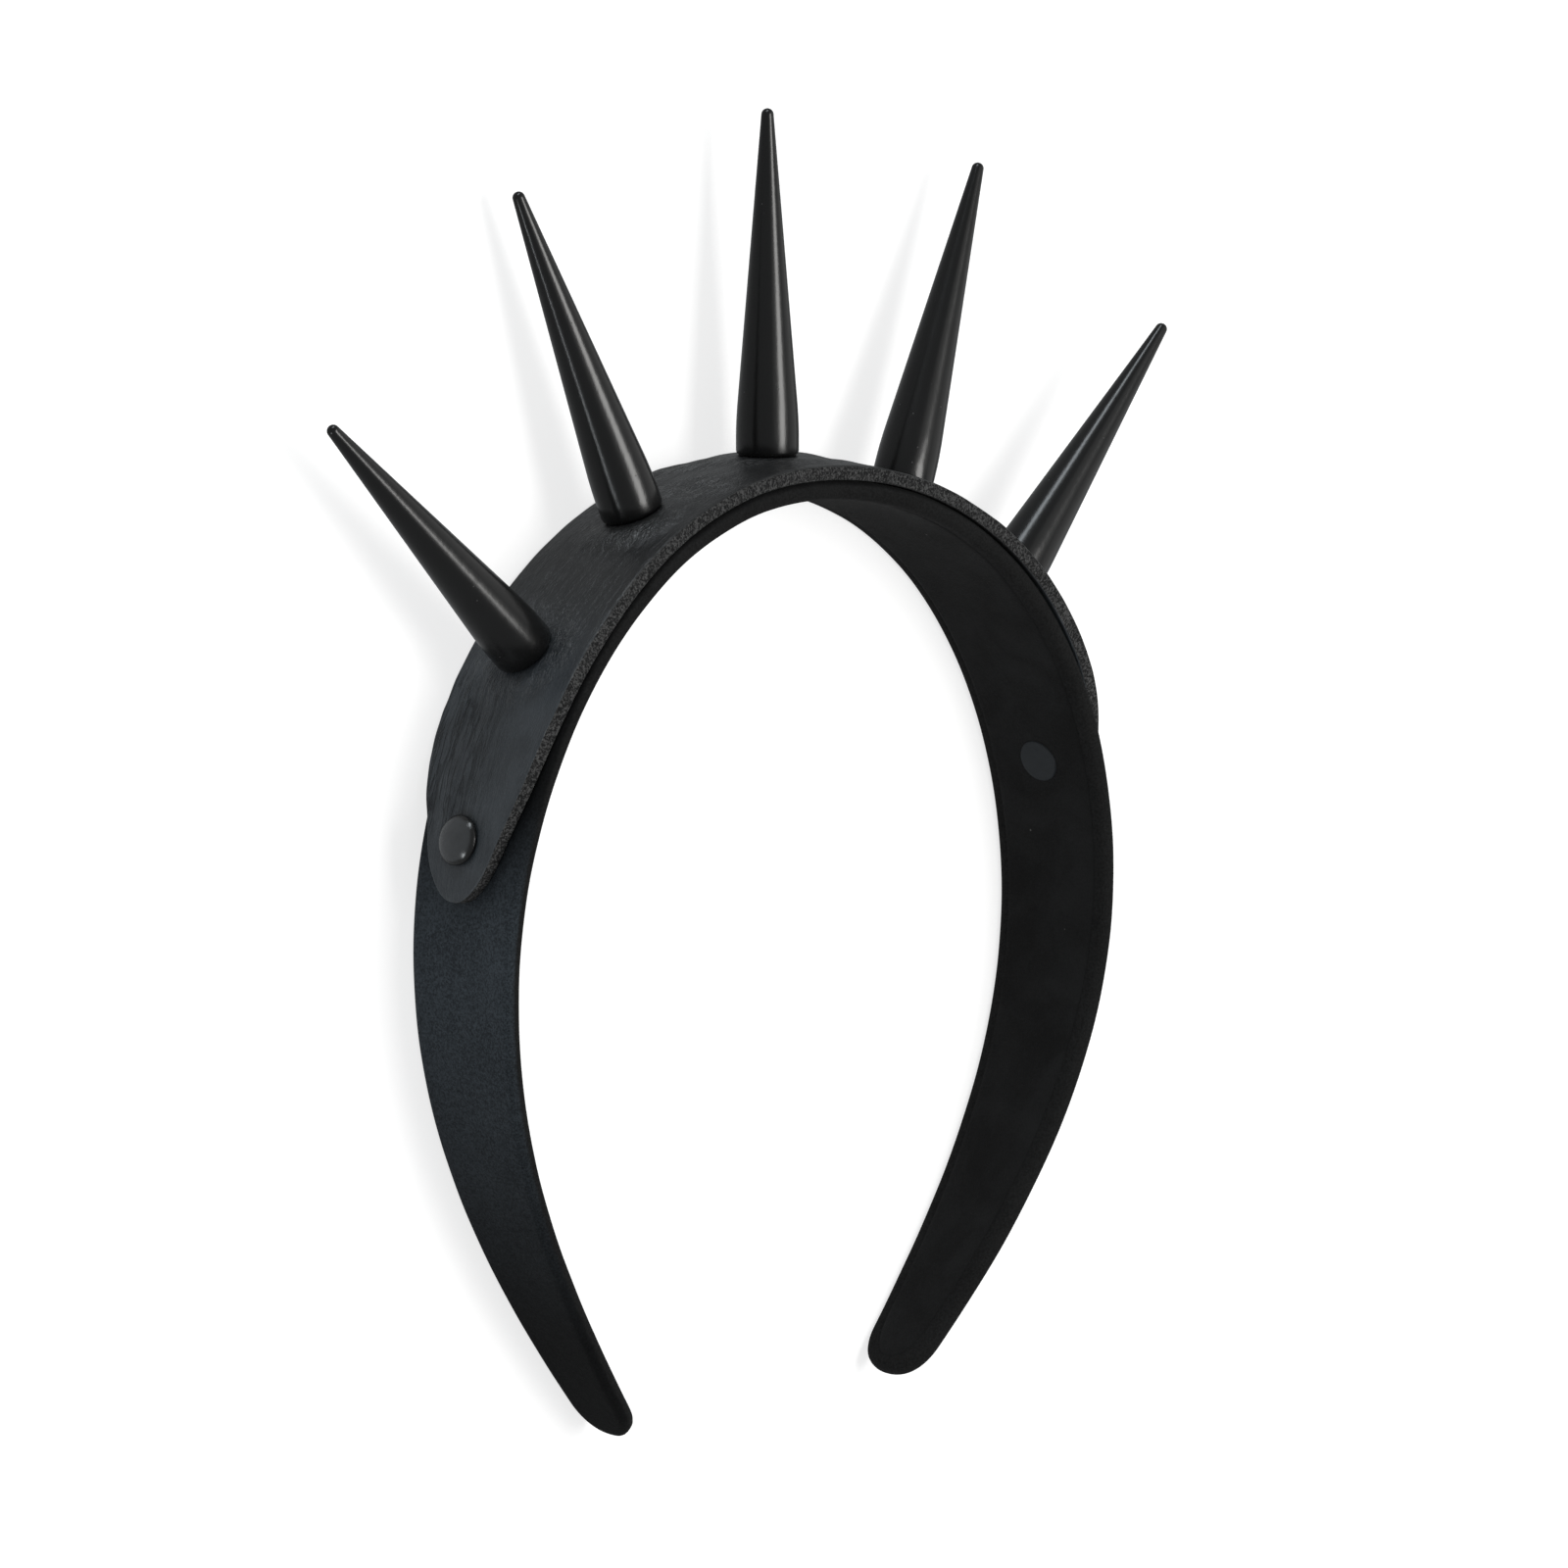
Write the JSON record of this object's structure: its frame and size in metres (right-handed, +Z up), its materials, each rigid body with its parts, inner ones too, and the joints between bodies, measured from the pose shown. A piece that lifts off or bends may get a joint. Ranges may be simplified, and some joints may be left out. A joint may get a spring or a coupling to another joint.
{
  "type": "spiked headband",
  "caption": "Stiff fabric-covered headband with an inner lining and a riveted leather strap that carries a row of long tapered spikes.",
  "frame": {"origin": "on the floor, in the middle of the bounding box's base", "axes": "+X across the band from one leg to the other, to the right when the front edge faces the viewer and the spikes point up; +Y from the leg ends to the top of the band; +Z up, from the back edge, which lies on the floor, to the front edge"},
  "size_m": [0.1724, 0.1916, 0.0226],
  "materials": {
    "band_fabric": "matte",
    "lining_fabric": "velvet",
    "strap_leather": "satin",
    "spike_gloss": "gloss",
    "black_metal": "satin"
  },
  "bodies": {
    "root": {"hair_band": "band_fabric", "band_lining": "lining_fabric", "spike_strap": "strap_leather", "spike_1": "spike_gloss", "spike_2": "spike_gloss", "spike_3": "spike_gloss", "spike_4": "spike_gloss", "spike_5": "spike_gloss", "spike_1_screw": "black_metal", "spike_2_screw": "black_metal", "spike_3_screw": "black_metal", "spike_4_screw": "black_metal", "spike_5_screw": "black_metal", "rivet_cap_left": "black_metal", "rivet_post_left": "black_metal", "rivet_cap_right": "black_metal", "rivet_post_right": "black_metal"}
  },
  "joints": []
}
